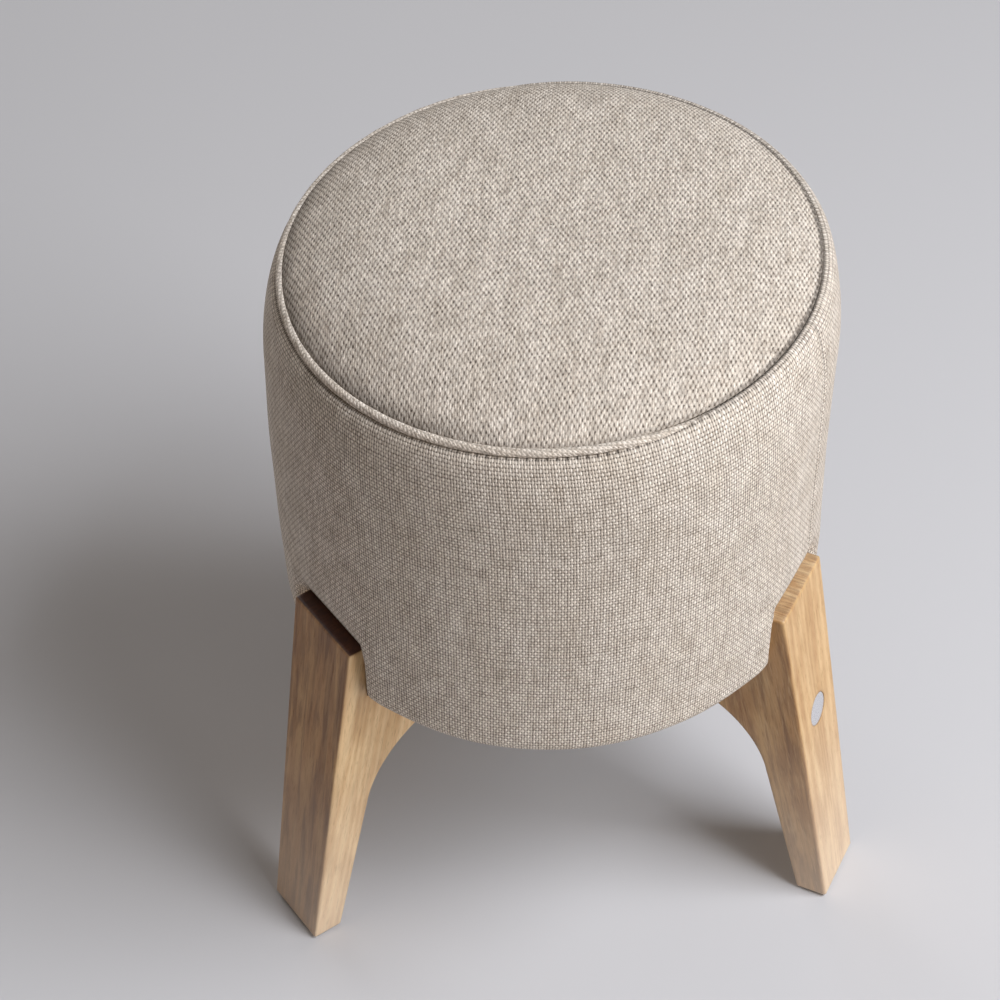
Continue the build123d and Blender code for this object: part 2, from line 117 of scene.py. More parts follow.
def makeLinen(name, weave):
    material, tree = newMaterial(name)
    # the cloth map counts threads, one unit for each
    threads = addNode(tree, "ShaderNodeUVMap", uv_map="cloth")
    # threads wander a little
    drift = addNode(
        tree, "ShaderNodeTexNoise", {"Vector": threads, "Scale": linen["drifts"], "Detail": 2.0},
        noise_dimensions="2D"
    )
    centred = addNode(
        tree, "ShaderNodeVectorMath", {0: drift.outputs["Color"], 1: (0.5, 0.5, 0.5)}, operation="SUBTRACT"
    )
    waved = addNode(
        tree, "ShaderNodeVectorMath", {0: centred, 1: (weave["wander"], weave["wander"], 0), 2: threads},
        operation="MULTIPLY_ADD"
    )
    axes = addNode(tree, "ShaderNodeSeparateXYZ", {0: waved})
    warpTurn = addNode(tree, "ShaderNodeMath", {0: axes.outputs[0], 1: math.pi}, operation="MULTIPLY")
    weftTurn = addNode(tree, "ShaderNodeMath", {0: axes.outputs[1], 1: math.pi}, operation="MULTIPLY")
    warpWave = addNode(tree, "ShaderNodeMath", {0: warpTurn}, operation="COSINE")
    weftWave = addNode(tree, "ShaderNodeMath", {0: weftTurn}, operation="COSINE")
    # above 0 the warp is on top
    cross = addNode(tree, "ShaderNodeMath", {0: warpWave, 1: weftWave}, operation="MULTIPLY")
    warpSide = addNode(tree, "ShaderNodeMath", {0: warpWave}, operation="ABSOLUTE")
    weftSide = addNode(tree, "ShaderNodeMath", {0: weftWave}, operation="ABSOLUTE")
    warpOver = addNode(
        tree, "ShaderNodeMath", {0: cross, 1: linen["swing"], 2: linen["level"]}, operation="MULTIPLY_ADD"
    )
    weftOver = addNode(
        tree, "ShaderNodeMath", {0: cross, 1: -linen["swing"], 2: linen["level"]}, operation="MULTIPLY_ADD"
    )
    warpHigh = addNode(tree, "ShaderNodeMath", {0: warpSide, 1: warpOver}, operation="MULTIPLY")
    weftHigh = addNode(tree, "ShaderNodeMath", {0: weftSide, 1: weftOver}, operation="MULTIPLY")
    height = addNode(tree, "ShaderNodeMath", {0: warpHigh, 1: weftHigh}, operation="MAXIMUM")
    warpOnTop = addNode(tree, "ShaderNodeMapRange", {"Value": cross, "From Min": -0.2, "From Max": 0.2})
    # each thread has its own tone, which changes along it
    along = 1 / linen["slubLength"]
    across = linen["slubAcross"]
    warpPlace = addNode(tree, "ShaderNodeMapping", {"Vector": threads, "Scale": (across, along, 1)})
    # moved aside, so that the weft doesn't repeat the warp
    weftPlace = addNode(
        tree, "ShaderNodeMapping", {"Vector": threads, "Scale": (along, across, 1), "Location": (37, 11, 0)}
    )
    warpTone = addNode(
        tree, "ShaderNodeTexNoise", {"Vector": warpPlace, "Scale": 1.0, "Detail": 2.0}, noise_dimensions="2D"
    )
    weftTone = addNode(
        tree, "ShaderNodeTexNoise", {"Vector": weftPlace, "Scale": 1.0, "Detail": 2.0}, noise_dimensions="2D"
    )
    tone = addNode(tree, "ShaderNodeMix", {"Factor": warpOnTop, "A": weftTone.outputs[0], "B": warpTone.outputs[0]})
    slub = addNode(
        tree, "ShaderNodeMapRange", {"Value": tone, "From Min": 0.4, "From Max": 0.8, "To Max": linen["slubShare"]}
    )
    # the warp on top is a little lighter than the weft: partly the yarn's own tone, partly painted light where the
    # warp's crowns catch the light
    yarn = addNode(
        tree, "ShaderNodeMix",
        {"Factor": warpOnTop, "A": hexColour(linen["weftYarn"]), "B": hexColour(linen["warpYarn"])}, data_type="RGBA"
    )
    spun = addNode(
        tree, "ShaderNodeMix", {"Factor": slub, "A": yarn, "B": hexColour(linen["darkYarn"])}, data_type="RGBA"
    )
    # faint patches where the yarn changes
    patch = addNode(
        tree, "ShaderNodeTexNoise",
        {"Vector": threads, "Scale": 1 / linen["patchSize"], "Detail": 3.0, "Roughness": 0.6}, noise_dimensions="2D"
    )
    patchTint = addNode(tree, "ShaderNodeMapRange", {"Value": patch.outputs[0], "From Min": 0.3, "From Max": 0.7})
    tint = addNode(
        tree, "ShaderNodeMix", {"Factor": patchTint, "A": hexColour(weave["dark"]), "B": hexColour(weave["light"])},
        data_type="RGBA"
    )
    tinted = addNode(
        tree, "ShaderNodeMix", {"Factor": 1.0, "A": spun, "B": tint}, data_type="RGBA", blend_type="MULTIPLY"
    )
    # light is lost between the threads and where they dip
    low, high = linen["edge"]
    warpEdge = addNode(
        tree, "ShaderNodeMapRange",
        {"Value": warpSide, "From Min": low, "From Max": high, "To Min": 1.0, "To Max": 0.0}
    )
    weftEdge = addNode(
        tree, "ShaderNodeMapRange",
        {"Value": weftSide, "From Min": low, "From Max": high, "To Min": 1.0, "To Max": 0.0}
    )
    corner = addNode(tree, "ShaderNodeMath", {0: warpEdge, 1: weftEdge}, operation="MULTIPLY")
    least, most = linen["gapSpread"]
    warpDeep = addNode(
        tree, "ShaderNodeMapRange",
        {
            "Value": warpTone.outputs[0], "From Min": 0.35, "From Max": 0.65, "To Min": 1 - least * weave["warpGap"],
            "To Max": 1 - most * weave["warpGap"]
        }
    )
    weftDeep = addNode(
        tree, "ShaderNodeMapRange",
        {
            "Value": weftTone.outputs[0], "From Min": 0.35, "From Max": 0.65, "To Min": 1 - least * weave["weftGap"],
            "To Max": 1 - most * weave["weftGap"]
        }
    )
    warpFull = addNode(tree, "ShaderNodeMapRange", {"Value": warpEdge, "To Min": 1.0, "To Max": warpDeep})
    weftFull = addNode(tree, "ShaderNodeMapRange", {"Value": weftEdge, "To Min": 1.0, "To Max": weftDeep})
    cornerFull = addNode(tree, "ShaderNodeMapRange", {"Value": corner, "To Min": 1.0, "To Max": 1 - weave["corner"]})
    # no two crossings are alike
    cell = addNode(tree, "ShaderNodeVectorMath", {0: waved}, operation="FLOOR")
    chance = addNode(tree, "ShaderNodeTexWhiteNoise", {"Vector": cell}, noise_dimensions="2D")
    depth = addNode(
        tree, "ShaderNodeMapRange",
        {
            "Value": chance.outputs["Value"], "To Min": 1 - weave["shallow"] * weave["crossing"],
            "To Max": 1 - weave["crossing"]
        }
    )
    deepest, begins = linen["dip"]
    crossFull = addNode(
        tree, "ShaderNodeMapRange", {"Value": cross, "From Min": deepest, "From Max": begins, "To Min": depth}
    )
    gapsFull = addNode(tree, "ShaderNodeMath", {0: warpFull, 1: weftFull}, operation="MULTIPLY")
    cellsFull = addNode(tree, "ShaderNodeMath", {0: cornerFull, 1: crossFull}, operation="MULTIPLY")
    filled = addNode(tree, "ShaderNodeMath", {0: gapsFull, 1: cellsFull}, operation="MULTIPLY")
    cellTone = addNode(tree, "ShaderNodeSeparateXYZ", {0: chance.outputs["Color"]})
    cellLight = addNode(
        tree, "ShaderNodeMapRange", {"Value": cellTone.outputs[1], "To Min": 1 - weave["cellTone"], "To Max": 1.03}
    )
    fibres = addNode(
        tree, "ShaderNodeTexNoise", {"Vector": threads, "Scale": linen["fibres"], "Detail": 2.0},
        noise_dimensions="2D"
    )
    fibreLight = addNode(
        tree, "ShaderNodeMapRange",
        {
            "Value": fibres.outputs[0], "From Min": 0.3, "From Max": 0.7, "To Min": 1 - linen["fibreTone"],
            "To Max": 1.02
        }
    )
    threadLight = addNode(tree, "ShaderNodeMath", {0: cellLight, 1: fibreLight}, operation="MULTIPLY")
    lit = addNode(tree, "ShaderNodeVectorMath", {0: tinted, "Scale": threadLight}, operation="SCALE")
    woven = addNode(
        tree, "ShaderNodeMix", {"Factor": filled, "A": hexColour(linen["hole"]), "B": lit}, data_type="RGBA"
    )
    # painted shade in needle holes, seams and the seat's shaded edge, set on each piece
    paintedShade = addNode(tree, "ShaderNodeAttribute", attribute_name="paintedShade")
    colour = addNode(
        tree, "ShaderNodeMix", {"Factor": paintedShade.outputs["Fac"], "A": woven, "B": hexColour(linen["shadow"])},
        data_type="RGBA"
    )
    relief = addNode(
        tree, "ShaderNodeBump",
        {"Height": height, "Strength": linen["reliefStrength"], "Distance": linen["relief"] * mm}
    )
    shader = addNode(
        tree, "ShaderNodeBsdfPrincipled",
        {
            "Base Color": colour, "Roughness": linen["rough"], "IOR": linen["ior"],
            "Specular IOR Level": linen["specular"], "Normal": relief
        }
    )
    closeMaterial(tree, shader)
    return material


# Oak, sawn, sanded and oiled: honey brown, satin, with soft growth rings, dark streaks and small pores
oak = {
    "ringWidth": 6.0, "ringStretch": 0.06,  # mm, and how far rings are drawn out along the grain
    "bendSize": 26.3, "bend": 30,
    "poreWidth": 0.6, "poreLength": 10,
    "rayWidth": 1.1, "rayLength": 14,
    "streakWidth": 5.0, "streakLength": 70,
    "cloudWidth": 16, "cloudLength": 45,
    "fleckWidth": 1.3, "fleckLength": 22,
    "light": "#e3c698",
    "middle": "#d4b081",
    "streak": "#7d5735",
    "pore": "#7a5636",
    "cloud": "#e6dccf",  # tint
    "fleck": "#ecd6b2",
    "foot": "#eadecf",  # paler near the floor
    "footHeight": 150, "footShare": 0.4,
    "poreShare": 0.4,  # of the pores' colour at most
    "gloss": (0.42, 0.62),  # roughness of the wood, and in its pores
    "relief": 0.15, "reliefStrength": 0.25,
    "ior": 1.5,
    "easing": 3.4,  # mm, arrises rubbed round
    "lean": 11,  # degrees, grain along the leaning shank
}
# For each leg: its pith in mm from the leg's own frame, the tints of the outer face, the sides and the end grain,
# painted light and shade as the light falls on that leg besides the wood's own tone, and how strong the streaks and
# flecks are
boards = {
    "leg_left": {
        "pith": (40, 55, 0), "outer": "#d3c1ae", "side": "#ffffff", "end": "#633c1e", "outerStreak": 0.75,
        "sideStreak": 0.15, "fleck": 0.15
    },
    "leg_right": {
        "pith": (-190, 70, 30), "outer": "#ebe5dc", "side": "#d3c3ae", "end": "#e4e3e8", "outerStreak": 0.12,
        "sideStreak": 0.62, "fleck": 0.55
    },
    "leg_back": {
        "pith": (60, -40, 80), "outer": "#eee5da", "side": "#e8dccd", "end": "#b0906c", "outerStreak": 0.4,
        "sideStreak": 0.5, "fleck": 0.25
    },
}


def makeOak(name, angle, board):
    material, tree = newMaterial(name)
    place = addNode(tree, "ShaderNodeTexCoord")
    spin = (0, 0, -math.radians(angle))
    turned = addNode(tree, "ShaderNodeMapping", {"Vector": place.outputs["Object"], "Rotation": spin})
    grain = addNode(
        tree, "ShaderNodeMapping",
        {"Vector": turned, "Rotation": (0, math.radians(oak["lean"]), 0), "Location": [v * mm for v in board["pith"]]}
    )
    # which way each face looks: along the leg's side, or up at the end grain
    facing = addNode(tree, "ShaderNodeMapping", {"Vector": place.outputs["Normal"], "Rotation": spin})
    faceAxes = addNode(tree, "ShaderNodeSeparateXYZ", {0: facing})
    sideways = addNode(tree, "ShaderNodeMath", {0: faceAxes.outputs[1]}, operation="ABSOLUTE")
    onSide = addNode(tree, "ShaderNodeMapRange", {"Value": sideways, "From Min": 0.35, "From Max": 0.85})
    onEnd = addNode(tree, "ShaderNodeMapRange", {"Value": faceAxes.outputs[2], "From Min": 0.75, "From Max": 0.98})
    # rings round the pith, drawn out along the grain
    ringPlace = addNode(tree, "ShaderNodeMapping", {"Vector": grain, "Scale": (1, 1, oak["ringStretch"])})
    bend = addNode(
        tree, "ShaderNodeTexNoise", {"Vector": ringPlace, "Scale": 1 / (oak["bendSize"] * mm), "Detail": 2.0}
    )
    bendMiddle = addNode(
        tree, "ShaderNodeVectorMath", {0: bend.outputs["Color"], 1: (0.5, 0.5, 0.5)}, operation="SUBTRACT"
    )
    bent = addNode(
        tree, "ShaderNodeVectorMath", {0: bendMiddle, 1: (oak["bend"] * mm, oak["bend"] * mm, 0), 2: ringPlace},
        operation="MULTIPLY_ADD"
    )
    ringScale = 2 * math.pi / (20 * oak["ringWidth"] * mm)
    rings = addNode(
        tree, "ShaderNodeTexWave",
        {"Vector": bent, "Scale": ringScale, "Distortion": 2.2, "Detail": 3.0, "Detail Scale": 0.6},
        wave_type="RINGS", rings_direction="Z", wave_profile="SIN"
    )
    soft = addNode(tree, "ShaderNodeMapRange", {"Value": rings.outputs["Fac"], "To Min": 0.1, "To Max": 0.95})
    ringTone = addNode(
        tree, "ShaderNodeMix", {"Factor": soft, "A": hexColour(oak["middle"]), "B": hexColour(oak["light"])},
        data_type="RGBA"
    )
    # dark streaks that wander along the grain
    streakAcross = 1 / (oak["streakWidth"] * mm)
    streakPlace = addNode(
        tree, "ShaderNodeMapping",
        {"Vector": grain, "Scale": (streakAcross, streakAcross, 1 / (oak["streakLength"] * mm))}
    )
    streaks = addNode(
        tree, "ShaderNodeTexNoise",
        {"Vector": streakPlace, "Scale": 1.0, "Detail": 4.0, "Roughness": 0.6, "Distortion": 0.6}
    )
    streakMask = addNode(
        tree, "ShaderNodeMapRange", {"Value": streaks.outputs[0], "From Min": 0.44, "From Max": 0.64, "To Max": 0.95}
    )
    streakShare = addNode(
        tree, "ShaderNodeMapRange", {"Value": onSide, "To Min": board["outerStreak"], "To Max": board["sideStreak"]}
    )
    streakFade = addNode(tree, "ShaderNodeMath", {0: streakMask, 1: streakShare}, operation="MULTIPLY")
    streaked = addNode(
        tree, "ShaderNodeMix", {"Factor": streakFade, "A": ringTone, "B": hexColour(oak["streak"])}, data_type="RGBA"
    )
    # pale flecks on the sides, where the saw met the rays
    fleckPlace = addNode(
        tree, "ShaderNodeMapping",
        {"Vector": grain, "Scale": [1 / (oak[k] * mm) for k in ("fleckWidth", "fleckWidth", "fleckLength")]}
    )
    flecks = addNode(
        tree, "ShaderNodeTexNoise", {"Vector": fleckPlace, "Scale": 1.0, "Detail": 2.0, "Distortion": 0.8}
    )
    fleckMask = addNode(
        tree, "ShaderNodeMapRange",
        {"Value": flecks.outputs[0], "From Min": 0.55, "From Max": 0.66, "To Max": board["fleck"]}
    )
    fleckFade = addNode(tree, "ShaderNodeMath", {0: fleckMask, 1: onSide}, operation="MULTIPLY")
    flecked = addNode(
        tree, "ShaderNodeMix", {"Factor": fleckFade, "A": streaked, "B": hexColour(oak["fleck"])}, data_type="RGBA"
    )
    # broad clouds of tone
    cloudPlace = addNode(
        tree, "ShaderNodeMapping",
        {"Vector": grain, "Scale": [1 / (oak[k] * mm) for k in ("cloudWidth", "cloudWidth", "cloudLength")]}
    )
    clouds = addNode(tree, "ShaderNodeTexNoise", {"Vector": cloudPlace, "Scale": 1.0, "Detail": 2.0})
    cloudMask = addNode(tree, "ShaderNodeMapRange", {"Value": clouds.outputs[0], "From Min": 0.42, "From Max": 0.66})
    clouded = addNode(
        tree, "ShaderNodeMix", {"Factor": cloudMask, "A": flecked, "B": hexColour(oak["cloud"])}, data_type="RGBA",
        blend_type="MULTIPLY"
    )
    # pores as short dark dashes
    across = 1 / (oak["poreWidth"] * mm)
    porePlace = addNode(
        tree, "ShaderNodeMapping", {"Vector": grain, "Scale": (across, across, 1 / (oak["poreLength"] * mm))}
    )
    pores = addNode(tree, "ShaderNodeTexNoise", {"Vector": porePlace, "Scale": 1.0, "Detail": 2.0, "Roughness": 0.6})
    poreMask = addNode(
        tree, "ShaderNodeMapRange",
        {"Value": pores.outputs[0], "From Min": 0.54, "From Max": 0.72, "To Max": oak["poreShare"]}
    )
    pored = addNode(
        tree, "ShaderNodeMix", {"Factor": poreMask, "A": clouded, "B": hexColour(oak["pore"])}, data_type="RGBA"
    )
    # rays across the end grain
    rayPlace = addNode(
        tree, "ShaderNodeMapping",
        {"Vector": turned, "Scale": [1 / (oak[k] * mm) for k in ("rayLength", "rayWidth", "rayLength")]}
    )
    rays = addNode(tree, "ShaderNodeTexNoise", {"Vector": rayPlace, "Scale": 1.0, "Detail": 2.0, "Distortion": 0.4})
    rayMask = addNode(
        tree, "ShaderNodeMapRange", {"Value": rays.outputs[0], "From Min": 0.4, "From Max": 0.62, "To Max": 0.5}
    )
    rayFade = addNode(tree, "ShaderNodeMath", {0: rayMask, 1: onEnd}, operation="MULTIPLY")
    rayed = addNode(
        tree, "ShaderNodeMix", {"Factor": rayFade, "A": pored, "B": hexColour(oak["pore"])}, data_type="RGBA"
    )
    # painted light and shade: each face has its own tint, lighter or darker as the light falls on it, with some of
    # the wood's own tone
    paintedLightBySide = addNode(
        tree, "ShaderNodeMix", {"Factor": onSide, "A": hexColour(board["outer"]), "B": hexColour(board["side"])},
        data_type="RGBA"
    )
    paintedLightByFace = addNode(
        tree, "ShaderNodeMix", {"Factor": onEnd, "A": paintedLightBySide, "B": hexColour(board["end"])}, data_type="RGBA"
    )
    tinted = addNode(
        tree, "ShaderNodeMix", {"Factor": 1.0, "A": rayed, "B": paintedLightByFace}, data_type="RGBA", blend_type="MULTIPLY"
    )
    legAxes = addNode(tree, "ShaderNodeSeparateXYZ", {0: turned})
    nearFloor = addNode(
        tree, "ShaderNodeMapRange",
        {"Value": legAxes.outputs[2], "From Max": oak["footHeight"] * mm, "To Min": oak["footShare"], "To Max": 0.0}
    )
    colour = addNode(
        tree, "ShaderNodeMix", {"Factor": nearFloor, "A": tinted, "B": hexColour(oak["foot"])}, data_type="RGBA"
    )
    smooth, rough = oak["gloss"]
    gloss = addNode(
        tree, "ShaderNodeMapRange",
        {"Value": poreMask, "From Max": oak["poreShare"], "To Min": smooth, "To Max": rough}
    )
    eased = addNode(tree, "ShaderNodeBevel", {"Radius": oak["easing"] * mm}, samples=6)
    relief = addNode(
        tree, "ShaderNodeBump",
        {
            "Height": pores.outputs[0], "Strength": oak["reliefStrength"], "Distance": oak["relief"] * mm,
            "Normal": eased
        }
    )
    shader = addNode(
        tree, "ShaderNodeBsdfPrincipled",
        {"Base Color": colour, "Roughness": gloss, "IOR": oak["ior"], "Normal": relief}
    )
    closeMaterial(tree, shader)
    return material


# Materials of the smaller and hidden pieces: two colours mottled at a real size, with a fine relief
plainFinishes = {
    # birch plywood, sanded: pale, with faint broad figure
    "birchPlywoodSanded": {
        "a": "#dcc39a", "b": "#cbae82", "grit": 9.0, "stretch": (1, 0.12, 1), "rough": 0.6, "relief": 0.1
    },
    # pine, planed: yellow, with straight stripes up the post
    "pinePlaned": {
        "a": "#e0bf88", "b": "#c99a5c", "grit": 4.0, "stretch": (1, 1, 0.06), "rough": 0.55, "relief": 0.1
    },
    # hardboard, pressed: brown and finely fibrous
    "hardboardPressed": {
        "a": "#7d5c3e", "b": "#66482e", "grit": 1.2, "stretch": (1, 1, 1), "rough": 0.75, "relief": 0.1
    },
    # polyurethane foam, cut: cream, dull and full of small cells
    "polyurethaneFoamCut": {
        "a": "#efe6c8", "b": "#dccfa6", "grit": 1.0, "stretch": (1, 1, 1), "rough": 0.95, "relief": 0.5
    },
    # cotton cord, laid: off white and dull
    "cottonCordLaid": {
        "a": "#ece6d8", "b": "#d3c9b4", "grit": 0.5, "stretch": (1, 1, 1), "rough": 0.95, "relief": 0.2
    },
    # polypropylene felt, spun-bonded: black, faintly glossy and evenly dimpled
    "polypropyleneSpunBonded": {
        "a": "#1b1b1d", "b": "#0f0f11", "grit": 0.9, "stretch": (1, 1, 1), "rough": 0.7, "relief": 0.25
    },
    # wool felt, pressed: dark grey and fibrous
    "woolFeltPressed": {
        "a": "#4a4643", "b": "#2d2a28", "grit": 0.7, "stretch": (1, 1, 1), "rough": 1.0, "relief": 0.4
    },
}


def makePlain(name, finish):
    material, tree = newMaterial(name)
    place = addNode(tree, "ShaderNodeTexCoord")
    scale = [s / (finish["grit"] * mm) for s in finish["stretch"]]
    spread = addNode(tree, "ShaderNodeMapping", {"Vector": place.outputs["Object"], "Scale": scale})
    mottle = addNode(tree, "ShaderNodeTexNoise", {"Vector": spread, "Scale": 1.0, "Detail": 4.0, "Roughness": 0.6})
    contrast = addNode(tree, "ShaderNodeMapRange", {"Value": mottle.outputs[0], "From Min": 0.35, "From Max": 0.65})
    colour = addNode(
        tree, "ShaderNodeMix", {"Factor": contrast, "A": hexColour(finish["b"]), "B": hexColour(finish["a"])},
        data_type="RGBA"
    )
    relief = addNode(
        tree, "ShaderNodeBump", {"Height": mottle.outputs[0], "Strength": 0.5, "Distance": finish["relief"] * mm}
    )
    shader = addNode(
        tree, "ShaderNodeBsdfPrincipled", {"Base Color": colour, "Roughness": finish["rough"], "Normal": relief}
    )
    closeMaterial(tree, shader)
    return material


# Metals: fine lines or spangle change the roughness, so highlights break up
metalFinishes = {
    # stainless steel, turned and satin brushed: silver with a soft reflection
    "stainlessSteelBrushed": {
        "colour": "#ebebee", "low": 0.22, "high": 0.38, "grit": 0.35, "stretch": (0.05, 1, 1), "relief": 0.05
    },
    # steel, zinc plated: bluish grey with a cloudy sheen
    "steelZincPlated": {
        "colour": "#b4b8be", "low": 0.3, "high": 0.5, "grit": 1.5, "stretch": (1, 1, 1), "relief": 0.05
    },
}


def makeMetal(name, finish):
    material, tree = newMaterial(name)
    place = addNode(tree, "ShaderNodeTexCoord")
    scale = [s / (finish["grit"] * mm) for s in finish["stretch"]]
    spread = addNode(tree, "ShaderNodeMapping", {"Vector": place.outputs["Object"], "Scale": scale})
    lines = addNode(tree, "ShaderNodeTexNoise", {"Vector": spread, "Scale": 1.0, "Detail": 3.0})
    gloss = addNode(
        tree, "ShaderNodeMapRange",
        {
            "Value": lines.outputs[0], "From Min": 0.3, "From Max": 0.7, "To Min": finish["low"],
            "To Max": finish["high"]
        }
    )
    relief = addNode(
        tree, "ShaderNodeBump", {"Height": lines.outputs[0], "Strength": 0.15, "Distance": finish["relief"] * mm}
    )
    shader = addNode(
        tree, "ShaderNodeBsdfPrincipled",
        {"Base Color": hexColour(finish["colour"]), "Metallic": 1.0, "Roughness": gloss, "Normal": relief}
    )
    closeMaterial(tree, shader)
    return material


materials = {name: makePlain(name, finish) for name, finish in plainFinishes.items()}
materials.update({name: makeMetal(name, finish) for name, finish in metalFinishes.items()})
materials.update({name: makeLinen(name, weave) for name, weave in weaves.items()})
for leg, angle in legAngles.items():
    materials[leg] = makeOak("oakOiled_" + leg, angle, boards[leg])
print("materials made:", len(materials))

# CAD pieces that keep their own shape
finishOf = {
    "badge_disc": "stainlessSteelBrushed", "leg_bolts": "steelZincPlated", "bolt_washers": "steelZincPlated",
    "tee_nuts": "steelZincPlated", "base_screws": "steelZincPlated", "seat_screws": "steelZincPlated",
    "cover_staples": "steelZincPlated", "base_board": "birchPlywoodSanded", "seat_board": "birchPlywoodSanded",
    "drum_wall": "hardboardPressed", "drum_posts": "pinePlaned",
    "leg_left": "leg_left", "leg_right": "leg_right", "leg_back": "leg_back",
}
for node, finish in finishOf.items():
    for slot in nodes[node].material_slots:
        slot.material = materials[finish]
print("CAD pieces finished:", len(finishOf))

# The soft drum: sizes in mm, as it stands, a little tilted as sewn
drum = {
    "seamRadius": 141.9, "seamHeight": 430.8,
    "bellyRadius": 154.6, "bellyHeight": 379.0,
    "lowerRadius": 152.7, "lowerHeight": 213.6,
    "hemRadius": 138.7, "hemHeight": 199.6, "hemEdge": 120.0,
    "crown": 19.2, "crownPower": 5.4, "crownRows": (26, 62), "crownFrom": 0.004, "crownSplit": 0.5,
    "shoulderTurn": 58, "shoulderFrom": 424.3,  # degrees, and the height where the seam's tuck begins
    "shoulderRows": 30, "wallRows": 70, "hemRows": 14, "rowsCrowd": 1.2,
    "tilt": 2.11, "shift": 2.43,  # degrees and mm, towards the right
    "lean": 0.61,  # degrees, higher at the back
    "tiltFrom": 300.0,  # height where the tilt fades out
    "tiltTowards": -3.74,  # degrees from +X
    "stitches": 182, "columnsPerStitch": 4,
    "sideSeam": -28.0,  # degrees, the band's own upright seam
    "sunkAt": 12, "sunkReach": (66, 98),  # degrees, where the welt is drawn into the seam
}
tiltTurn = math.radians(drum["tiltTowards"])
tiltAxis = np.array([math.cos(tiltTurn), math.sin(tiltTurn)])
leanAxis = np.array([-tiltAxis[1], tiltAxis[0]])
columns = drum["stitches"] * drum["columnsPerStitch"]

# Where a leg presses the linen in
pocket = {
    "flat": 144.1, "nearWidth": 32.2, "farWidth": 26.4, "ledge": 239.0, "lean": 23, "sideSlope": 2.4, "farSlope": 0.6,
    "blend": 4.0, "bulge": 1.0, "bulgeAt": 10.0, "bulgeWidth": 8.0, "bulgeTop": 30, "from": 60
}


def smoothStep(a, b, x):
    t = np.clip((x - a) / (b - a), 0, 1)
    return t * t * (3 - 2 * t)


def softMin(a, b, blend):
    h = np.clip(0.5 + 0.5 * (b - a) / blend, 0, 1)
    return b * (1 - h) + a * h - blend * h * (1 - h)


# revolves a profile of (radius, height) rows into rows of points
def revolve(profile, angles):
    radius = np.array([p[0] for p in profile])[:, None]
    height = np.array([p[1] for p in profile])[:, None] + 0 * angles[None, :]
    return np.stack([radius * np.cos(angles), radius * np.sin(angles), height], axis=-1)


# tilts and shifts the upper part, as the seat was sewn on; the crown stays level, only its edge follows the seam
def settle(points):
    weight = smoothStep(drum["tiltFrom"], drum["seamHeight"], points[..., 2])
    rise = points[..., :2] @ tiltAxis * math.tan(math.radians(drum["tilt"]))
    rise += points[..., :2] @ leanAxis * math.tan(math.radians(drum["lean"]))
    reach = np.linalg.norm(points[..., :2], axis=-1) / drum["seamRadius"]
    onCrown = (points[..., 2] > drum["seamHeight"]) & (reach < 1)
    rise = rise * np.where(onCrown, reach ** (drum["crownPower"] - 1), 1)
    moved = points.copy()
    moved[..., 2] += weight * rise
    moved[..., :2] += weight[..., None] * drum["shift"] * tiltAxis
    return moved


# presses the flats behind the legs, with the linen swelling beside and above them
def press(points, inset=0):
    moved = points.copy()
    for angle in legAngles.values():
        out = np.array([math.cos(math.radians(angle)), math.sin(math.radians(angle))])
        side = np.array([-out[1], out[0]])
        x = moved[..., :2] @ out
        y = moved[..., :2] @ side * (1 if side[1] < 0 else -1)  # positive towards the front
        z = moved[..., 2]
        past = np.where(y > 0, y - pocket["nearWidth"], -y - pocket["farWidth"]) - inset
        rise = np.maximum(0, z - pocket["ledge"] - inset) * math.tan(math.radians(pocket["lean"]))
        slope = np.where(y > 0, pocket["sideSlope"], pocket["farSlope"])
        limit = pocket["flat"] - inset + rise + np.maximum(0, past) * slope
        bulge = pocket["bulge"] * np.exp(-((past - pocket["bulgeAt"]) / pocket["bulgeWidth"]) ** 2)
        bulge = bulge * (1 - smoothStep(pocket["ledge"], pocket["ledge"] + pocket["bulgeTop"], z))
        bulge = bulge * smoothStep(drum["hemHeight"], drum["lowerHeight"], z)
        pressed = softMin(x + bulge, limit, pocket["blend"])
        pressed = np.where(x > pocket["from"], pressed, x)
        moved[..., :2] += (pressed - x)[..., None] * out
    return moved


# small unevenness of hand upholstery, in mm
def uneven(points, size, wavelength, seed):
    flat = points.reshape(-1, 3)
    push = np.array([noise.noise(Vector(p) / wavelength + Vector((seed, 0, 0))) for p in flat]) * size
    radial = flat.copy()
    radial[:, 2] = 0
    radial /= np.maximum(1e-6, np.linalg.norm(radial, axis=1))[:, None]
    return (flat + radial * push[:, None]).reshape(points.shape)


# builds a mesh from rows of points round the drum
# uv rows are one column longer, so that the cloth has a start and an end
def buildRound(name, points, uv, paintedShade=None, closeRows=False):
    rows, count = points.shape[:2]
    mesh = bpy.data.meshes.new(name)
    faces, corners = [], []
    for i in range(rows if closeRows else rows - 1):
        k = (i + 1) % rows
        for j in range(count):
            n = (j + 1) % count
            faces.append((i * count + j, k * count + j, k * count + n, i * count + n))
            corners += [uv[i, j], uv[i + 1, j], uv[i + 1, j + 1], uv[i, j + 1]]
    mesh.from_pydata((points.reshape(-1, 3) * mm).tolist(), [], faces)
    layer = mesh.uv_layers.new(name="cloth")
    layer.data.foreach_set("uv", np.array(corners).ravel())
    if paintedShade is not None:
        mesh.attributes.new("paintedShade", "FLOAT", "POINT").data.foreach_set("value", paintedShade.ravel())
    mesh.polygons.foreach_set("use_smooth", [True] * len(mesh.polygons))
    mesh.update()
    piece = bpy.data.objects.new(name, mesh)
    bpy.context.scene.collection.objects.link(piece)
    return piece


def dress(piece, finish, slot, *replaced):
    piece.data.materials.append(materials[finish])
    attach(piece, "root")
    if replaced:
        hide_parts(*replaced)


